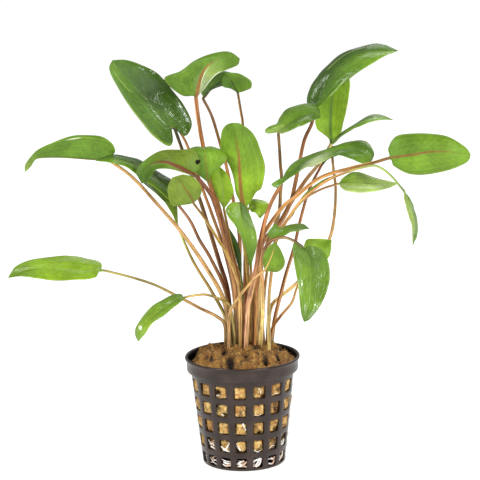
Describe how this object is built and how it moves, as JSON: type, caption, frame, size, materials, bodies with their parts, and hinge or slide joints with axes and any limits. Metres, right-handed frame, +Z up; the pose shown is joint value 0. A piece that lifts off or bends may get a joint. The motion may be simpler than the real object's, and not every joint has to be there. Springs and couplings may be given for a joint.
{
  "type": "potted aquarium plant",
  "caption": "Rosette of stalked green leaves rooted in mineral wool, in a round net pot with a rolled rim and windowed wall.",
  "frame": {"origin": "centre of the pot's underside, on the surface that it stands on", "axes": "+Z up along the pot's axis, +X along the plant's widest spread, -Y towards the side that the picture shows"},
  "size_m": [0.2179, 0.0735, 0.1971],
  "materials": {
    "pot_plastic": "dark greyish-brown moulded plastic, satin",
    "mineral_wool": "golden-brown matted mineral fibre",
    "root_white": "white living root",
    "sprout_green": "pale young shoot",
    "leaf_green": "smooth glossy leaf, paler below, on a brown stalk"
  },
  "bodies": {
    "root": {"net_pot": "pot_plastic", "rockwool_plug": "mineral_wool", "root_front_low": "root_white", "root_front_high": "root_white", "root_left_low": "root_white", "root_left_high": "root_white", "root_right_low": "root_white", "root_right_high": "root_white", "root_back": "root_white", "sprout": "sprout_green", "leaf_left_shelf": "leaf_green", "leaf_left_arch": "leaf_green", "leaf_left_wedge": "leaf_green", "leaf_left_curled": "leaf_green", "leaf_left_spotted": "leaf_green", "leaf_left_round": "leaf_green", "leaf_top_left": "leaf_green", "leaf_top_left_hidden": "leaf_green", "leaf_top_hood": "leaf_green", "leaf_top_dark": "leaf_green", "leaf_top_small": "leaf_green", "leaf_centre_tall": "leaf_green", "leaf_centre_left": "leaf_green", "leaf_centre_hanging": "leaf_green", "leaf_centre_small": "leaf_green", "leaf_inner_young": "leaf_green", "leaf_right_shelf": "leaf_green", "leaf_top_right": "leaf_green", "leaf_right_upright": "leaf_green", "leaf_right_thin": "leaf_green", "leaf_right_arch": "leaf_green", "leaf_right_hidden": "leaf_green", "leaf_far_right": "leaf_green", "leaf_right_droop": "leaf_green", "leaf_right_pale": "leaf_green", "leaf_right_young": "leaf_green", "leaf_front_right": "leaf_green", "leaf_right_behind": "leaf_green", "leaf_right_dark": "leaf_green", "leaf_front_round": "leaf_green", "leaf_far_left": "leaf_green", "leaf_low_left": "leaf_green"}
  },
  "joints": []
}
